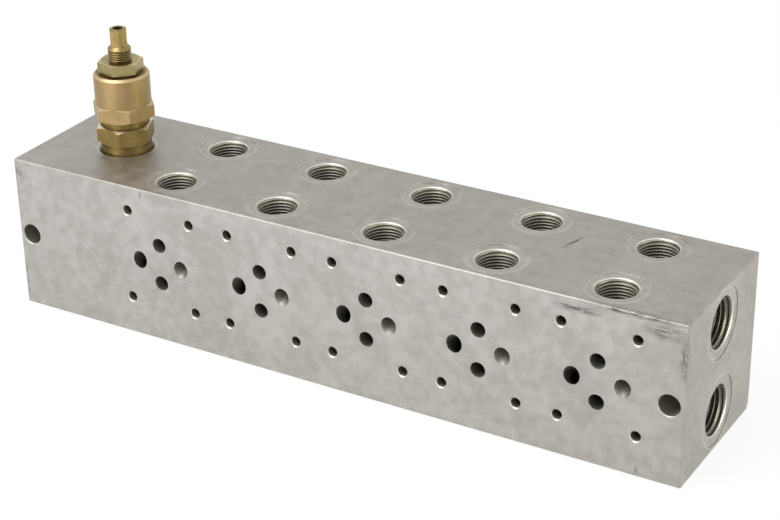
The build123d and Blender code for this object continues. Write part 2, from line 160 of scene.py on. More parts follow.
# ---------------------------------------------------------------------------------------------
# Manifold block: a bar of aluminium alloy, sawn, milled and then drilled on all its faces. It has
# been handled, so its skin is clouded, finely grained, streaked by the cutter and rubbed dark.
# ---------------------------------------------------------------------------------------------
mm = 0.001
block_low, block_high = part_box("manifold_block")

# Milled aluminium: a dull grey metal, blotched 20 mm and 5 mm wide by handling and by the wash,
# with a sandy grain. Where a tool cut last, in the holes and on their faces, it is brighter.
aluminium = bpy.data.materials.new("milled_aluminium")
aluminium.use_nodes = True
tree = aluminium.node_tree
tree.nodes.clear()
place = node(tree, "TexCoord", out="Object")
east, north, level = (node(tree, "SeparateXYZ", {0: place}, out=axis) for axis in "XYZ")
skin_dark, skin_pale = "#9A9790", "#A7A49D"
blotch_width, haze_width, grain_width = 20 * mm, 5 * mm, 0.5 * mm
mark_width, mark_stretch = 1.2 * mm, 9
blotch_share, haze_share, mark_share = 0.5, 0.4, 0.1
tone_dark, tone_pale = 0.36, 0.64
grain_low, grain_high, speck_dark, speck_pale = 0.40, 0.62, -0.05, 0.07
clouded = {"Vector": place, "Roughness": 0.6}
blotches = node(tree, "TexNoise", {**clouded, "Scale": 1 / blotch_width, "Detail": 3.0})
haze = node(tree, "TexNoise", {**clouded, "Scale": 1 / haze_width, "Detail": 4.0})
grain = node(tree, "TexNoise", {**clouded, "Scale": 1 / grain_width, "Detail": 2.0})
along = node(tree, "Mapping", {0: place, "Scale": (1 / mark_stretch, 1, 1)})
streaked = {"Vector": along, "Scale": 1 / mark_width, "Detail": 2.0, "Roughness": 0.5}
marks = node(tree, "TexNoise", streaked)
tone = node(tree, "Math", {0: blotches, 1: blotch_share}, operation="MULTIPLY")
tone = node(tree, "Math", {0: haze, 1: haze_share, 2: tone}, operation="MULTIPLY_ADD")
tone = node(tree, "Math", {0: marks, 1: mark_share, 2: tone}, operation="MULTIPLY_ADD")
spread = {0: tone, 1: tone_dark, 2: tone_pale}
tone = node(tree, "MapRange", spread, interpolation_type="SMOOTHSTEP")
colour = node(tree, "MixRGB", {0: tone, 1: linear(skin_dark), 2: linear(skin_pale)})
spread = {0: grain, 1: grain_low, 2: grain_high, 3: speck_dark, 4: speck_pale}
speck = node(tree, "MapRange", spread)

# Faces that a tool turned round each mouth: brighter inside their rim, with a paler ring at the
# rim and a dull line inside it. The profile gives a grey at shares of turned_reach from a
# service port's axis, where skin_grey leaves the skin as it is, and an end port's is the same at
# its own size.
service_face_mm, end_face_mm, cavity_rim_mm = 12.3, 14.7, 12.35
bar_half, station_pitch, first_station = block_high[0], 50 * mm, -80 * mm
row_offset, end_level, end_half_pitch = 19 * mm, 35.3 * mm, 18.9 * mm
valve_place = (-120 * mm, 0.0)
top_depth, end_depth, rim_half_width = 0.8 * mm, 0.6 * mm, 0.5 * mm
turned_reach, turned_gain, rim_gain, skin_grey = 16 * mm, 1.1, 0.5, 0.5
turned_profile = (
    (0.0, 0.62),
    (0.54, 0.70),
    (0.60, 0.54),
    (0.68, 0.55),
    (0.72, 0.68),
    (0.785, 0.69),
    (0.81, skin_grey),
)
from_station = node(tree, "Math", {0: east, 1: first_station}, operation="SUBTRACT")
pitch_ends = {0: from_station, 1: station_pitch / 2, 2: -station_pitch / 2}
from_station = node(tree, "Math", pitch_ends, operation="WRAP")
from_row = node(tree, "Math", {0: north}, operation="ABSOLUTE")
from_row = node(tree, "Math", {0: from_row, 1: row_offset}, operation="SUBTRACT")
from_port = node(tree, "CombineXYZ", {0: from_station, 1: from_row})
from_port = node(tree, "VectorMath", {0: from_port}, out="Value", operation="LENGTH")
from_middle = node(tree, "Math", {0: level, 1: end_level}, operation="SUBTRACT")
from_middle = node(tree, "Math", {0: from_middle}, operation="ABSOLUTE")
from_middle = node(tree, "Math", {0: from_middle, 1: end_half_pitch}, operation="SUBTRACT")
from_end_port = node(tree, "CombineXYZ", {0: north, 1: from_middle})
from_end_port = node(tree, "VectorMath", {0: from_end_port}, out="Value", operation="LENGTH")
end_share = service_face_mm / end_face_mm
from_end_port = node(tree, "Math", {0: from_end_port, 1: end_share}, operation="MULTIPLY")
at_top = node(tree, "Math", {0: level, 1: block_high[2] - top_depth}, operation="GREATER_THAN")
ports_start = first_station - station_pitch / 2
at_ports = node(tree, "Math", {0: east, 1: ports_start}, operation="GREATER_THAN")
at_ports = node(tree, "Math", {0: at_ports, 1: at_top}, operation="MULTIPLY")
at_end = node(tree, "Math", {0: east, 1: bar_half - end_depth}, operation="GREATER_THAN")
turned = 0.0
for reach, there in ((from_port, at_ports), (from_end_port, at_end)):
    ring = node(tree, "MapRange", {0: reach, 1: 0.0, 2: turned_reach})
    ring = node(tree, "ValToRGB", {0: ring})
    stops = ring.node.color_ramp.elements
    for count, (stop, grey) in enumerate(turned_profile):
        spot = stops[count] if count < 2 else stops.new(stop)
        spot.position = stop
        spot.color = (grey, grey, grey, 1)
    ring = node(tree, "Math", {0: ring, 1: skin_grey}, operation="SUBTRACT")
    turned = node(tree, "Math", {0: ring, 1: there, 2: turned}, operation="MULTIPLY_ADD")
from_valve = node(tree, "VectorMath", {0: place, 1: (*valve_place, 0)}, operation="SUBTRACT")
from_valve = node(tree, "VectorMath", {0: from_valve, 1: (1, 1, 0)}, operation="MULTIPLY")
from_valve = node(tree, "VectorMath", {0: from_valve}, out="Value", operation="LENGTH")
rim_place = {0: from_valve, 1: cavity_rim_mm * mm, 2: rim_half_width}
rim = node(tree, "Math", rim_place, operation="COMPARE")
rim = node(tree, "Math", {0: rim, 1: at_top}, operation="MULTIPLY")
turned = node(tree, "Math", {0: rim, 1: rim_gain, 2: turned}, operation="MULTIPLY_ADD")

# Holes and broken edges, which lie inside all the outer faces, show the tool's own bright cut.
# Painted shade darkens the valve drillings further in from the front face,
# less so in the band where P and T open.
cut_dull, cut_bright, drilling_shade = "#B2AEA3", "#D4D0C5", "#4A473F"
end_margin, side_margin, top_margin, foot_margin = 0.5 * mm, 0.05 * mm, 0.35 * mm, 0.05 * mm
band_level, band_inner, band_outer, band_shade = 37.6 * mm, 5 * mm, 6 * mm, 0.55
shade_start_depth, shade_full_depth = 1 * mm, 9 * mm
stations_half, mouths_level = 144 * mm, 66.5 * mm
east_way = node(tree, "Math", {0: east}, operation="ABSOLUTE")
north_way = node(tree, "Math", {0: north}, operation="ABSOLUTE")
inside = node(tree, "Math", {0: east_way, 1: bar_half - end_margin}, operation="LESS_THAN")
faces_passed = (
    (north_way, block_high[1] - side_margin, "LESS_THAN"),
    (level, block_high[2] - top_margin, "LESS_THAN"),
    (level, foot_margin, "GREATER_THAN"),
)
for way, limit, side in faces_passed:
    within = node(tree, "Math", {0: way, 1: limit}, operation=side)
    inside = node(tree, "Math", {0: inside, 1: within}, operation="MULTIPLY")
cut = node(tree, "MixRGB", {0: haze, 1: linear(cut_dull), 2: linear(cut_bright)})
from_band = node(tree, "Math", {0: level, 1: band_level}, operation="SUBTRACT")
from_band = node(tree, "Math", {0: from_band}, operation="ABSOLUTE")
banded = node(tree, "MapRange", {0: from_band, 1: band_inner, 2: band_outer, 3: band_shade, 4: 1.0})
front_depths = {0: north, 1: block_low[1] + shade_start_depth, 2: block_low[1] + shade_full_depth}
drilling_shaded = node(tree, "MapRange", front_depths)
drilling_shaded = node(tree, "Math", {0: drilling_shaded, 1: banded}, operation="MULTIPLY")
at_stations = node(tree, "Math", {0: east_way, 1: stations_half}, operation="LESS_THAN")
drilling_shaded = node(tree, "Math", {0: drilling_shaded, 1: at_stations}, operation="MULTIPLY")
below_mouths = node(tree, "Math", {0: level, 1: mouths_level}, operation="LESS_THAN")
drilling_shaded = node(tree, "Math", {0: drilling_shaded, 1: below_mouths}, operation="MULTIPLY")
# Painted shade in the front drillings.
cut = node(tree, "MixRGB", {0: drilling_shaded, 1: cut, 2: linear(drilling_shade)})
colour = node(tree, "MixRGB", {0: inside, 1: colour, 2: cut})
tone_factor = node(tree, "Math", {0: turned, 1: turned_gain, 2: speck}, operation="MULTIPLY_ADD")
tone_factor = node(tree, "Math", {0: tone_factor, 1: 1.0}, operation="ADD")
colour = node(tree, "VectorMath", {0: colour, "Scale": tone_factor}, operation="SCALE")

# Dark rubs: centre, half sizes and turn about Z, in millimetres and degrees, and how dark. Each
# is frayed into streaks that run the way it is longest, and fades from its core to its edge.
rubs = (
    ((111.4, -34.0, 64.9), (11.0, 3.0, 2.3), 0, 1.4),
    ((146.5, -34.0, 63.9), (10.5, 3.0, 3.6), 0, 1.4),
    ((133.0, -34.0, 68.4), (24.0, 3.0, 1.7), 0, 1.5),
    ((154.0, -34.0, 54.5), (2.4, 3.0, 10.0), 0, 1.3),
    ((-153.0, -34.0, 62.5), (4.5, 3.0, 6.0), 0, 1.0),
    ((-154.6, -34.0, 11.0), (1.6, 3.0, 11.0), 0, 1.0),
    ((-88.2, -34.0, 66.6), (0.6, 3.0, 2.2), 0, 1.2),
    ((-83.5, -34.0, 20.7), (0.5, 3.0, 3.0), 0, 0.8),
    ((137.2, -34.0, 3.0), (0.9, 3.0, 2.4), 0, 1.2),
    ((89.3, 7.0, 69.0), (0.8, 6.8, 2.0), -15, 3.0),
)
rub_dirt, rub_edge, rub_core = "#57544D", 1.1, 0.2
streak_width, streak_clear, streak_full, streak_most = 0.9 * mm, 0.40, 0.64, 0.95
streak_ways = {"along": (0.16, 1, 1), "upright": (1, 1, 0.2)}
frayed = {}
for way, stretch in streak_ways.items():
    streaks = node(tree, "Mapping", {0: place, "Scale": stretch})
    rough = {"Vector": streaks, "Scale": 1 / streak_width, "Detail": 5.0, "Roughness": 0.8}
    streaks = node(tree, "TexNoise", rough)
    spread = {0: streaks, 1: streak_clear, 2: streak_full, 3: 0.0, 4: streak_most}
    frayed[way] = node(tree, "MapRange", spread)
rubbed = 0.0
for centre, halves, turn, strength in rubs:
    fitted = {
        0: place,
        "Location": [side * mm for side in centre],
        "Rotation": (0, 0, np.radians(turn)),
        "Scale": [side * mm for side in halves],
    }
    reach = node(tree, "Mapping", fitted, vector_type="TEXTURE")
    reach = node(tree, "VectorMath", {0: reach}, out="Value", operation="LENGTH")
    near = node(tree, "MapRange", {0: reach, 1: rub_edge, 2: rub_core, 3: 0.0, 4: strength})
    way = "along" if halves[0] > halves[2] else "upright"
    near = node(tree, "Math", {0: near, 1: frayed[way]}, operation="MULTIPLY")
    rubbed = node(tree, "Math", {0: near, 1: rubbed}, operation="MAXIMUM")
colour = node(tree, "MixRGB", {0: rubbed, 1: colour, 2: linear(rub_dirt)})

# The haze that clouds the colour also dulls the gloss, and the grain and the marks stand proud.
least_roughness, haze_roughness, mark_height, relief_height = 0.40, 0.16, 0.5, 0.1 * mm
hazed = {0: haze, 1: haze_roughness, 2: least_roughness}
roughness = node(tree, "Math", hazed, operation="MULTIPLY_ADD")
relief = node(tree, "Math", {0: marks, 1: mark_height, 2: grain}, operation="MULTIPLY_ADD")
bump = node(tree, "Bump", {"Height": relief, "Strength": 0.3, "Distance": relief_height})
shaded = {"Base Color": colour, "Metallic": 1.0, "Roughness": roughness, "Normal": bump}
node(tree, "OutputMaterial", {"Surface": node(tree, "BsdfPrincipled", shaded)})


def dressed(name, material):
    """Give a CAD node, whose shape stays as it is, its finish."""
    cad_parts[name].data.materials.clear()
    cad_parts[name].data.materials.append(material)


dressed("manifold_block", aluminium)

# ---------------------------------------------------------------------------------------------
# Threads of the ports and the screw holes: Whitworth pipe threads in the ports, metric coarse in
# the valve screws' holes, all tapped in the block's own metal. Each lines its hole's plain wall.
# ---------------------------------------------------------------------------------------------
ridge_samples = 8


def grid_faces(rows):
    """Four-sided faces between neighbours in a grid of point numbers: each joins a number, the one
    beside it, and the two under these in the next row."""
    corners = (rows[:-1, :-1], rows[:-1, 1:], rows[1:, 1:], rows[1:, :-1])
    return np.stack(corners, axis=-1).reshape(-1, 4)


def thread_wall(root, crest, pitch, length, sides, back):
    """Closed thread about +Z, from its mouth at z 0 to its end at z -length. The wall's radius is
    root + (crest - root) * ridge, where ridge = (1 + cos(2 pi (z / pitch + turn))) / 2. Rows run
    along the ridge, so each drops a pitch a turn, and those past an end are held in its plane,
    where the ridge has run out into the root. A plain wall of radius back closes it. The painted
    shade, which stands for the shade in the roots and deep in the hole, is
    1 - ridge * (1 + z / length): none on the first crest, full in the roots and deep."""
    count = ridge_samples * (int(np.ceil(length / pitch)) + 1)
    row = np.arange(-ridge_samples, count + 1)[:, None]
    turn = np.arange(sides)[None, :] / sides
    z = np.clip(-pitch * (row / ridge_samples + turn), -length, 0.0)
    ridge = 0.5 + 0.5 * np.cos(2 * np.pi * row / ridge_samples)
    fade = np.clip(-z / pitch, 0, 1) * np.clip((length + z) / pitch, 0, 1)
    radius = root + (crest - root) * ridge * fade
    angle = 2 * np.pi * turn
    wall = np.stack((radius * np.cos(angle), radius * np.sin(angle), z), axis=-1)
    # Painted shade: clear on the first crest, full in the roots and deep in the hole.
    shade = 1 - ridge * (1 + z / length)
    rim = back * np.column_stack((np.cos(angle[0]), np.sin(angle[0])))
    mouth_rim = np.column_stack((rim, np.zeros(sides)))
    end_rim = np.column_stack((rim, np.full(sides, -length)))
    points = np.concatenate([wall.reshape(-1, 3), mouth_rim, end_rim])
    shade = np.concatenate([shade.ravel(), np.ones(2 * sides)])

    # The last column meets the first one a whole turn further on, which is ridge_samples rows.
    index = np.arange(len(row) * sides).reshape(-1, sides)
    wrapped = np.column_stack((index[:-ridge_samples], index[ridge_samples:, 0]))
    mouth = index.size + np.append(np.arange(sides), 0)
    end = mouth + sides
    caps = [(mouth[:-1], mouth[1:], wrapped[0, 1:], wrapped[0, :-1])]
    caps += [(wrapped[-1, :-1], wrapped[-1, 1:], end[1:], end[:-1])]
    caps += [(end[:-1], end[1:], mouth[1:], mouth[:-1])]
    faces = np.concatenate([grid_faces(wrapped), *(np.stack(cap, axis=-1) for cap in caps)])
    return points, faces, shade


merge_distance = 0.0005 * mm


def surfaced(name, shells, material, body, smooth_degrees=35):
    """One object from closed shells of (points in millimetres, four-sided faces, painted shade),
    with doubles merged, collapsed faces dropped and normals turned outwards. It rides on body,
    unless that is None."""
    starts = np.cumsum([0] + [len(points) for points, _, _ in shells])
    points = np.concatenate([points for points, _, _ in shells]) * mm
    faces = np.concatenate([faces + start for (_, faces, _), start in zip(shells, starts)])
    mesh = bpy.data.meshes.new(name)
    mesh.from_pydata(points, [], faces)
    # Each point carries its painted shade, by which the materials darken it.
    tone_and_shade = mesh.attributes.new("painted_shade", "FLOAT", "POINT")
    shade = np.concatenate([shade for _, _, shade in shells])
    tone_and_shade.data.foreach_set("value", shade.astype(np.float32))
    shape = bmesh.new()
    shape.from_mesh(mesh)
    bmesh.ops.remove_doubles(shape, verts=shape.verts, dist=merge_distance)
    bmesh.ops.dissolve_degenerate(shape, edges=shape.edges, dist=merge_distance)
    loose = [corner for corner in shape.verts if not corner.link_faces]
    bmesh.ops.delete(shape, geom=loose, context="VERTS")
    bmesh.ops.recalc_face_normals(shape, faces=shape.faces)
    shape.to_mesh(mesh)
    shape.free()
    mesh.shade_smooth()
    mesh.set_sharp_from_angle(angle=np.radians(smooth_degrees))
    mesh.materials.append(material)
    piece = bpy.data.objects.new(name, mesh)
    bpy.context.scene.collection.objects.link(piece)
    if body:
        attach(piece, body)
    return piece


def stood(points, mouth, outward):
    """Points turned so that +Z runs outward, and moved so that z 0 is at the mouth."""
    turn = np.array(Vector((0, 0, 1)).rotation_difference(Vector(outward)).to_matrix())
    return points @ turn.T + np.array(mouth)


# Tapped aluminium: crests that the tap left bright, and painted shade, a dark brown, in the roots
# and the depth of each hole, varied in patches 3 mm wide, over the tap's 0.4 mm scoring.
crest_metal, root_shade = "#A19C8F", "#5C584E"
patch_width, patch_share, scoring_width, scoring_height = 3 * mm, 0.3, 0.4 * mm, 0.05 * mm
tapped_shade_clear, tapped_shade_full = 0.25, 1.05
tapped = bpy.data.materials.new("tapped_aluminium")
tapped.use_nodes = True
tree = tapped.node_tree
tree.nodes.clear()
place = node(tree, "TexCoord", out="Object")
patches = node(tree, "TexNoise", {"Vector": place, "Scale": 1 / patch_width, "Detail": 3.0})
painted_shade = {"attribute_name": "painted_shade", "attribute_type": "GEOMETRY"}
tone_and_shade = node(tree, "Attribute", out="Fac", **painted_shade)
tone_and_shade = node(tree, "Math", {0: patches, 1: patch_share, 2: tone_and_shade}, operation="MULTIPLY_ADD")
tone_and_shade = node(tree, "MapRange", {0: tone_and_shade, 1: tapped_shade_clear, 2: tapped_shade_full})
# Painted shade: from the crest's grey to the dark brown of the roots.
colour = node(tree, "MixRGB", {0: tone_and_shade, 1: linear(crest_metal), 2: linear(root_shade)})
scoring = node(tree, "TexNoise", {"Vector": place, "Scale": 1 / scoring_width, "Detail": 2.0})
bump = node(tree, "Bump", {"Height": scoring, "Strength": 0.2, "Distance": scoring_height})
shaded = {"Base Color": colour, "Metallic": 1.0, "Roughness": 0.48, "Normal": bump}
node(tree, "OutputMaterial", {"Surface": node(tree, "BsdfPrincipled", shaded)})

# G3/8 and G1/2 with 19 and 14 threads an inch, and M5: radii of root and crest, pitch and length
# in millimetres, and the sides round it. Each thread starts a little inside its face.
inch, wall_gap, wall_bite = 25.4, 0.02, 0.15
g38_root, g38_crest, g38_pitch, g38_length, g38_sides = 8.33, 7.475, inch / 19, 13.3, 48
g12_root, g12_crest, g12_pitch, g12_length, g12_sides = 10.4775, 9.316, inch / 14, 15.1, 56
m5_root, m5_crest, m5_pitch, m5_length, m5_sides = 2.1, 1.86, 0.8, 12.3, 20
g38_start, g12_start, m5_start = 0.68, 0.88, 0.6
block_top, block_front, block_end = block_high[2] / mm, block_low[1] / mm, block_high[0] / mm
stations = [(first_station + station_pitch * count) / mm for count in range(5)]
service_rows = [side * row_offset / mm for side in (-1, 1)]
gallery_levels = [(end_level + side * end_half_pitch) / mm for side in (-1, 1)]

# Screw holes: how far they stand each side of their station's middle, and their level.
screw_places = ((15.5, 57.9), (16.25, 17.4))

points, faces, shade = thread_wall(
    g38_root - wall_gap, g38_crest, g38_pitch, g38_length, g38_sides, g38_root + wall_bite
)
shells = [
    (stood(points, (along, across, block_top - g38_start), (0, 0, 1)), faces, shade)
    for along in stations
    for across in service_rows
]
surfaced("service_port_threads", shells, tapped, "manifold")

# In the end ports the painted shade is darker all over and more even.
end_shade_least, end_shade_spread = 0.60, 0.25
points, faces, shade = thread_wall(
    g12_root - wall_gap, g12_crest, g12_pitch, g12_length, g12_sides, g12_root + wall_bite
)
shade = end_shade_least + end_shade_spread * shade
shells = [
    (stood(points, (block_end - g12_start, 0, level), (1, 0, 0)), faces, shade)
    for level in gallery_levels
]
surfaced("end_port_threads", shells, tapped, "manifold")

# The screw holes' painted shade deepens to its darkest by a depth of 3.5 mm.
black_depth = 3.5
points, faces, shade = thread_wall(
    m5_root - wall_gap, m5_crest, m5_pitch, m5_length, m5_sides, m5_root + wall_bite
)
shade = shade + np.clip(-points[:, 2] / black_depth, 0, 1)
shells = [
    (stood(points, (along + side * reach, block_front + m5_start, level), (0, -1, 0)), faces, shade)
    for along in stations
    for reach, level in screw_places
    for side in (-1, 1)
]
surfaced("screw_hole_threads", shells, tapped, "manifold")

# ---------------------------------------------------------------------------------------------
# Relief valve body: turned from hexagon bar, zinc plated and yellow chromated, screwed into the
# block and sealed at its mouth. The plating shades from straw through olive to a faint pink.
# ---------------------------------------------------------------------------------------------


def yellow_zinc(
    name, straw, olive, pink, roughness, patch_mm=9.0, bevel_highlight="#D2BF98", shaded_mm=0.0
):
    """Material of chromated zinc plate: straw that shades to olive and pink over about patch_mm
    and further along the axis than round it, where the chromate drained. Faces that lean
    upwards, its bevels and thread flanks, carry a painted highlight, fine turning marks run round
    it, and painted shade darkens its threads' roots and lower turns. What lies less than shaded_mm
    from the valve's axis has painted shade, for the shade in the gaps between the parts."""
    shade_brown, axis_shade_share, thread_shade_share, highlight_share = "#4A3E22", 0.38, 0.85, 0.55
    highlight_rise, highlight_spread = 0.62, 0.355
    drained, turning, turning_mm, turning_height = 0.45, 0.06, 0.4, 0.06 * mm
    wear_mm, wear_spread = 1.5, 0.2
    made = bpy.data.materials.new(name)
    made.use_nodes = True
    tree = made.node_tree
    tree.nodes.clear()
    place = node(tree, "TexCoord", out="Object")
    lengthened = node(tree, "Mapping", {0: place, "Scale": (1, 1, drained)})
    clouded = {"Vector": lengthened, "Scale": 1 / (patch_mm * mm), "Detail": 4.0, "Roughness": 0.6}
    tone_and_shade = node(tree, "ValToRGB", {0: node(tree, "TexNoise", clouded)})
    stops = tone_and_shade.node.color_ramp.elements
    stops[0].position, stops[0].color = 0.30, linear(olive)
    stops[1].position, stops[1].color = 0.70, linear(pink)
    stops.new(0.48).color = linear(straw)
    # Painted highlight on faces that lean upwards, but not flat tops: bevels and thread flanks.
    rise = node(tree, "SeparateXYZ", {0: node(tree, "TexCoord", out="Normal")}, out="Z")
    highlighted = {0: rise, 1: highlight_rise, 2: highlight_spread}
    highlighted = node(tree, "Math", highlighted, operation="COMPARE")
    highlighted = node(tree, "Math", {0: highlighted, 1: highlight_share}, operation="MULTIPLY")
    tone_and_shade = node(tree, "MixRGB", {0: highlighted, 1: tone_and_shade, 2: linear(bevel_highlight)})
    # Painted shade in the threads' roots and lower turns, from the attribute that each point
    # carries.
    shade = node(tree, "Attribute", out="Fac", **painted_shade)
    shade = node(tree, "MapRange", {0: shade, 1: 0.1, 2: 1.0, 3: 0.0, 4: thread_shade_share})
    tone_and_shade = node(tree, "MixRGB", {0: shade, 1: tone_and_shade, 2: linear(shade_brown)})
    # Painted shade near the valve's axis: in the neck between the body's hexagons, and on the
    # housing's top face round the seal under the lock nut.
    if shaded_mm:
        axis = (*valve_place, 0)
        from_axis = node(tree, "VectorMath", {0: place, 1: axis}, operation="SUBTRACT")
        from_axis = node(tree, "VectorMath", {0: from_axis, 1: (1, 1, 0)}, operation="MULTIPLY")
        from_axis = node(tree, "VectorMath", {0: from_axis}, out="Value", operation="LENGTH")
        axis_shaded = node(tree, "Math", {0: from_axis, 1: shaded_mm * mm}, operation="LESS_THAN")
        axis_shaded = node(tree, "Math", {0: axis_shaded, 1: axis_shade_share}, operation="MULTIPLY")
        tone_and_shade = node(tree, "MixRGB", {0: axis_shaded, 1: tone_and_shade, 2: linear(shade_brown)})
    ringed = node(tree, "Mapping", {0: place, "Scale": (turning, turning, 1)})
    ringed = {"Vector": ringed, "Scale": 1 / (turning_mm * mm), "Detail": 2.0}
    ringed = node(tree, "TexNoise", ringed)
    worn = node(tree, "TexNoise", {"Vector": place, "Scale": 1 / (wear_mm * mm), "Detail": 3.0})
    worn = {0: worn, 1: wear_spread, 2: roughness - wear_spread / 2}
    worn = node(tree, "Math", worn, operation="MULTIPLY_ADD")
    bump = node(tree, "Bump", {"Height": ringed, "Strength": 0.5, "Distance": turning_height})
    shaded = {"Base Color": tone_and_shade, "Metallic": 1.0, "Roughness": worn, "Normal": bump}
    node(tree, "OutputMaterial", {"Surface": node(tree, "BsdfPrincipled", shaded)})
    return made


# The body: a pale painted highlight on its bevels, and painted shade within 10.9 mm of its axis, in
# the neck and on the shelf beside it.
body_zinc = yellow_zinc(
    "yellow_zinc_on_body", "#8D7B48", "#74673C", "#9C8457", 0.36, bevel_highlight="#FFF0CC", shaded_mm=10.9
)
dressed("valve_body", body_zinc)

# ---------------------------------------------------------------------------------------------
# Spring housing: a cap of hexagon bar, turned round above its spanner flats, screwed on the body.
# It is plated with the body, and its long sleeve shows the pinkest film.
# ---------------------------------------------------------------------------------------------
# A pale painted highlight on its bevels, and painted shade within 10.4 mm of its axis, on its top
# face round the seal under the lock nut.
housing_zinc = yellow_zinc(
    "yellow_zinc_on_housing", "#978159", "#877649", "#A48763", 0.42, shaded_mm=10.4
)
dressed("spring_housing", housing_zinc)

# ---------------------------------------------------------------------------------------------
# Lock nut: a thin hexagon nut, cut from bar and tapped, that is run down onto the housing to hold
# the adjusting screw's setting. Of the plated pieces it came out of the bath the greenest.
# ---------------------------------------------------------------------------------------------
# Its bevels carry the pale painted highlight.
nut_zinc = yellow_zinc("yellow_zinc_on_nut", "#9B8F62", "#867E4E", "#A69468", 0.34)
dressed("lock_nut", nut_zinc)

# ---------------------------------------------------------------------------------------------
# Adjusting screw: fine metric thread below, small hexagon end with a key socket above. The thread
# has a 1 mm pitch and the stop ring's groove near its foot. It stands for the plain CAD screw.
# ---------------------------------------------------------------------------------------------
axis_x = valve_place[0] / mm
screw_low, screw_high = (1000 * corner.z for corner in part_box("adjusting_screw"))
tip_height = 7.5
tip_base, tip_top = screw_high - tip_height, screw_high


def lathe(outline, sides):
    """Closed surface about +Z through (radius, level) rings, where a ring's radius and level are
    numbers or arrays with one value a side. Its first and last rings close on the axis."""
    angle = 2 * np.pi * np.arange(sides) / sides
    radius = np.array([np.broadcast_to(ring[0], sides) for ring in outline], float)
    level = np.array([np.broadcast_to(ring[1], sides) for ring in outline], float)
    points = np.stack((radius * np.cos(angle), radius * np.sin(angle), level), axis=-1)
    points = points.reshape(-1, 3)
    index = np.arange(len(points)).reshape(-1, sides)
    return points, grid_faces(np.column_stack((index, index[:, 0]))), np.zeros(len(points))


def hexagon(flats, sides, turn_degrees):
    """Radius of a hexagon's outline at each of sides angles: flats / 2 over the cosine of the
    angle to the middle of the nearest flat. A corner stands at turn_degrees."""
    angle = 360 * np.arange(sides) / sides - turn_degrees
    return flats / 2 / np.cos(np.radians((angle % 60) - 30))


# Its painted highlight is close to its straw, so its thread flanks are hardly brightened, and
# painted shade lies in its thread's roots and lower turns.
screw_zinc = yellow_zinc(
    "yellow_zinc_on_screw", "#8E7B4C", "#75673B", "#9A7F55", 0.36, 6.0, bevel_highlight="#96835A"
)

# Foot, with the stop ring's groove: radii, and rises from the screw's lower end. Here and below
# sizes are in millimetres, and neighbouring shells reach a little into each other.
screw_sides, tip_sides, crease_degrees = 64, 120, 25
crest_radius, groove_radius, foot_radius = 4.95, 4.35, 4.25
foot_outline = (
    (0.0, 0.0),
    (foot_radius, 0.0),
    (crest_radius, 0.7),
    (crest_radius, 2.4),
    (groove_radius, 2.4),
    (groove_radius, 3.6),
    (crest_radius, 3.6),
    (crest_radius, 4.4),
    (0.0, 4.4),
)
foot = [(radius, screw_low + rise) for radius, rise in foot_outline]

# Thread, from inside the foot to the shoulder, over whose bevel its last 0.3 mm runs out.
thread_depth, thread_pitch, thread_start, thread_reach = 0.55, 1.0, 4.0, 0.3
shoulder_bevel = 1.2
thread_top = tip_base - shoulder_bevel + thread_reach
thread_length = thread_top + thread_reach - (screw_low + thread_start)
points, faces, shade = thread_wall(
    crest_radius - thread_depth, crest_radius, thread_pitch, thread_length, screw_sides, 0.0
)
thread_shell = (points + np.array((0, 0, thread_top)), faces, shade)

# Shoulder between thread and end: radii, and rises from the end's base.
shoulder_outline = (
    (0.0, -1.9),
    (4.6, -1.9),
    (crest_radius, -1.5),
    (crest_radius, -shoulder_bevel),
    (3.75, 0.0),
    (0.0, 0.0),
)
shoulder = [(radius, tip_base + rise) for radius, rise in shoulder_outline]

# Hexagon end, 7 mm across flats and bevelled by 30 degrees, with a 4 mm key's socket in it.
end_flats, socket_flats, end_turn, socket_depth = 7.0, 4.0, 9.4, 4.5
bevel_inset, bevel_slope, end_overlap = 0.4, 0.577, 0.5
outer = hexagon(end_flats, tip_sides, end_turn)
socket = hexagon(socket_flats, tip_sides, end_turn)
end_radius = end_flats / 2 - bevel_inset
tip = (
    (0.0, tip_base - end_overlap),
    (outer, tip_base - end_overlap),
    (outer, tip_top - np.clip(outer - end_radius, 0, None) * bevel_slope),
    (end_radius, tip_top),
    (socket, tip_top),
    (socket, tip_top - socket_depth),
    (0.0, tip_top - socket_depth),
)
shells = [
    lathe(foot, screw_sides),
    thread_shell,
    lathe(shoulder, screw_sides),
    lathe(tip, tip_sides),
]
shells = [(points + np.array((axis_x, 0, 0)), faces, shade) for points, faces, shade in shells]
screw = surfaced(
    "adjusting_screw_threaded", shells, screw_zinc, "adjuster", crease_degrees
)
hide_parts("adjusting_screw")

# ---------------------------------------------------------------------------------------------
# Seat, poppet, spring guide and spring plate: hardened steel, turned, then ground where they seal
# or slide. The seat is pressed into the body's nose, and the other three move in the body's bore.
# ---------------------------------------------------------------------------------------------


def plain_finish(name, dark, pale, metallic, roughness, grain_mm):
    """Material of one even finish: its grain of about grain_mm runs from a dark to a pale tone."""
    grain_height = 0.03 * mm
    made = bpy.data.materials.new(name)
    made.use_nodes = True
    tree = made.node_tree
    tree.nodes.clear()
    place = node(tree, "TexCoord", out="Object")
    grain = node(tree, "TexNoise", {"Vector": place, "Scale": 1 / (grain_mm * mm), "Detail": 3.0})
    colour = node(tree, "MixRGB", {0: grain, 1: linear(dark), 2: linear(pale)})
    bump = node(tree, "Bump", {"Height": grain, "Strength": 0.15, "Distance": grain_height})
    shaded = {"Base Color": colour, "Metallic": metallic, "Roughness": roughness, "Normal": bump}
    node(tree, "OutputMaterial", {"Surface": node(tree, "BsdfPrincipled", shaded)})
    return made


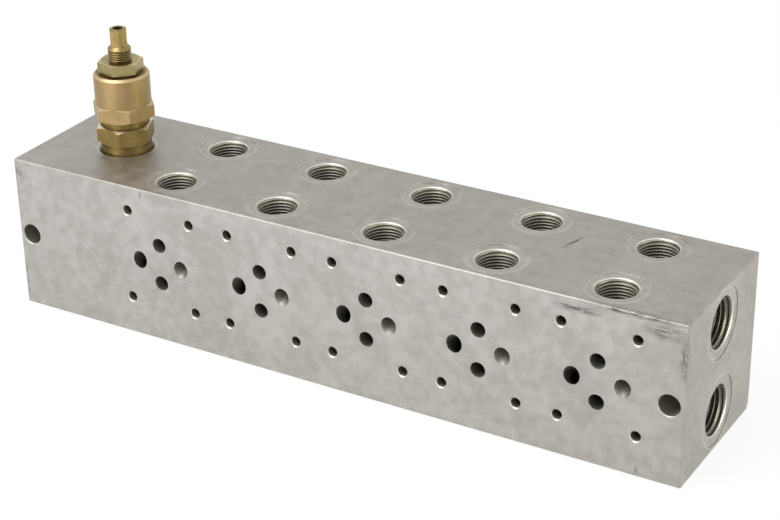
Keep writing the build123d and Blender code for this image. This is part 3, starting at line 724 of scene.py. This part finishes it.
# Ground steel: pale and nearly a mirror, with the wheel's fine scratches.
ground_steel = plain_finish("ground_steel", "#9A9A98", "#B9B9B6", 1.0, 0.22, 0.3)
for name in ("valve_seat", "poppet", "spring_guide", "upper_spring_plate"):
    dressed(name, ground_steel)

# ---------------------------------------------------------------------------------------------
# Pressure spring and the screw's stop ring: oil tempered spring wire. The spring is wound in six
# and a half turns with its ends ground flat, and the ring is bent to snap into the screw's groove.
# ---------------------------------------------------------------------------------------------
spring_low, spring_high = (1000 * corner.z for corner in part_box("pressure_spring"))
wire, spring_outside, spring_turns, rings_a_turn, wire_sides = 2.2, 11.9, 6.5, 36, 12


def wound_wire(wire, outside, low, high, turns, stretch, rings, sides):
    """Closed stretch, between two shares of its length, of a round wire wound about +Z to an
    outside diameter. Its middle rises evenly from low to high, and a circle is carried along it,
    square to it: its first axis points away from +Z, and its second one leans back from +Z by the
    helix's slope. What passes low or high is held in that plane, which makes the flat ends. Each
    end closes on its middle, in faces of two sides each."""
    along = np.linspace(*stretch, rings)[:, None]
    angle = 2 * np.pi * turns * along
    around = 2 * np.pi * np.arange(sides)[None, :] / sides
    middle_radius = (outside - wire) / 2
    slope = np.arctan2(high - low, 2 * np.pi * turns * middle_radius)
    radius = middle_radius + wire / 2 * np.cos(around)
    lean = -wire / 2 * np.sin(around) * np.sin(slope)
    x = radius * np.cos(angle) - lean * np.sin(angle)
    y = radius * np.sin(angle) + lean * np.cos(angle)
    z_middle = low + (high - low) * along
    z = z_middle + wire / 2 * np.sin(around) * np.cos(slope)
    tube = np.stack((x, y, np.clip(z, low, high)), axis=-1)
    middles = middle_radius * np.column_stack((np.cos(angle[[0, -1]]), np.sin(angle[[0, -1]])))
    middles = np.column_stack((middles, z_middle[[0, -1]]))
    points = np.concatenate([tube.reshape(-1, 3), middles])
    index = np.arange(rings * sides).reshape(rings, sides)
    wrapped = np.column_stack((index, index[:, 0]))
    fans = [
        np.column_stack((np.full(sides // 2, middle), ring[:-1:2], ring[1::2], ring[2::2]))
        for middle, ring in ((rings * sides, wrapped[0]), (rings * sides + 1, wrapped[-1]))
    ]
    return points, np.concatenate([grid_faces(wrapped), *fans]), np.zeros(len(points))


# Oil tempered wire: nearly black, with a dull gloss.
tempered_wire = plain_finish("oil_tempered_wire", "#4B4B4C", "#6A6968", 1.0, 0.34, 0.6)
dressed("screw_stop_ring", tempered_wire)

# The real spring is one wire, whose foot moves with the guide and whose head moves with the
# plate. Here it is two that meet half way up. Each row gives a half's name, its stretch of the
# wire, and the body and level of its lower and of its upper end; these bodies and levels are
# not used, and the halves are not attached to the guide or the plate.
half_way = (spring_low + spring_high) / 2
spring_halves = (
    ("pressure_spring_foot", (0.0, 0.4999), ("closing_cone", spring_low), ("manifold", half_way)),
    ("pressure_spring_head", (0.5001, 1.0), ("manifold", half_way), ("spring_plate", spring_high)),
)
rings = int(rings_a_turn * spring_turns / 2) + 1
for name, stretch, (lower_body, lower), (upper_body, upper) in spring_halves:
    points, faces, shade = wound_wire(
        wire, spring_outside, spring_low, spring_high, spring_turns, stretch, rings, wire_sides
    )
    coil = (points + np.array((axis_x, 0, 0)), faces, shade)
    half = surfaced(name, [coil], tempered_wire, None)
    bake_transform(half)
    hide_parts("pressure_spring")

# ---------------------------------------------------------------------------------------------
# Seals: rings of moulded nitrile rubber, sprung into their grooves when the valve is put together.
# One lies under the lock nut, one is round the spring plate, and three seal the body.
# ---------------------------------------------------------------------------------------------
# Moulded nitrile: black and dull, with a faint bloom.
nitrile = plain_finish("moulded_nitrile", "#1B1B1B", "#262626", 0.0, 0.55, 0.4)
for name in ("lock_nut_seal", "housing_seal", "mouth_seal", "nose_seal", "piston_seal"):
    dressed(name, nitrile)

# ---------------------------------------------------------------------------------------------
# Backup rings: flat rings cut from white PTFE rod and slipped on each side of the nose's seal,
# where they keep the pressure from forcing it into the gap.
# ---------------------------------------------------------------------------------------------
# Cut PTFE: waxy white, with the knife's faint rings.
dressed("nose_backup_rings", plain_finish("cut_ptfe", "#DAD7CC", "#E6E4DB", 0.0, 0.45, 0.8))
